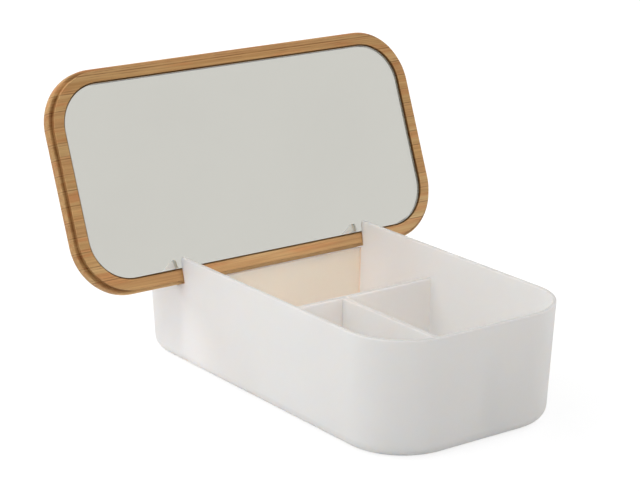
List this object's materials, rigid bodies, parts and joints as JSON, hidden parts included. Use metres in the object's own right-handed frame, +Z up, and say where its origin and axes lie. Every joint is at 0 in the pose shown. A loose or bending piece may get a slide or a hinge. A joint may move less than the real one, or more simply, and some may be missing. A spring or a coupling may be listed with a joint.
{
  "type": "vanity box with mirror lid",
  "caption": "Open plastic tray with compartments and a lift-off bamboo lid that carries a mirror and stands leaning back in slots in the tray's walls.",
  "frame": {"origin": "centre of the tray's underside", "axes": "+X across the tray to the right, +Y along the tray towards the end where the lid stands, +Z up"},
  "size_m": [0.2394, 0.24, 0.1608],
  "materials": {
    "tray_plastic": "white, slightly translucent, satin",
    "bamboo_light": "caramelised bamboo, clear satin varnish",
    "bamboo_warm": "caramelised bamboo, clear satin varnish",
    "bamboo_mid": "caramelised bamboo, clear satin varnish",
    "mirror_glass": "silvered glass with ground edge",
    "tape_foam": "white foam tape"
  },
  "bodies": {
    "tray": {"tray": "tray_plastic"},
    "lid": {"lid_stave_01": "bamboo_warm", "lid_stave_02": "bamboo_light", "lid_stave_03": "bamboo_mid", "lid_stave_04": "bamboo_light", "lid_stave_05": "bamboo_warm", "lid_stave_06": "bamboo_mid", "lid_stave_07": "bamboo_light", "lid_stave_08": "bamboo_light", "lid_stave_09": "bamboo_warm", "lid_stave_10": "bamboo_light", "lid_stave_11": "bamboo_mid", "lid_stave_12": "bamboo_warm", "lid_stave_13": "bamboo_light", "lid_stave_14": "bamboo_mid", "lid_stave_15": "bamboo_warm", "mirror": "mirror_glass", "mirror_tape_lower": "tape_foam", "mirror_tape_middle": "tape_foam", "mirror_tape_upper": "tape_foam"}
  },
  "joints": [
    {"name": "lid_lift", "type": "slide", "parent": "tray", "child": "lid", "axis": [0, 0.3624, 0.932], "range_m": [0, 0.06]}
  ]
}
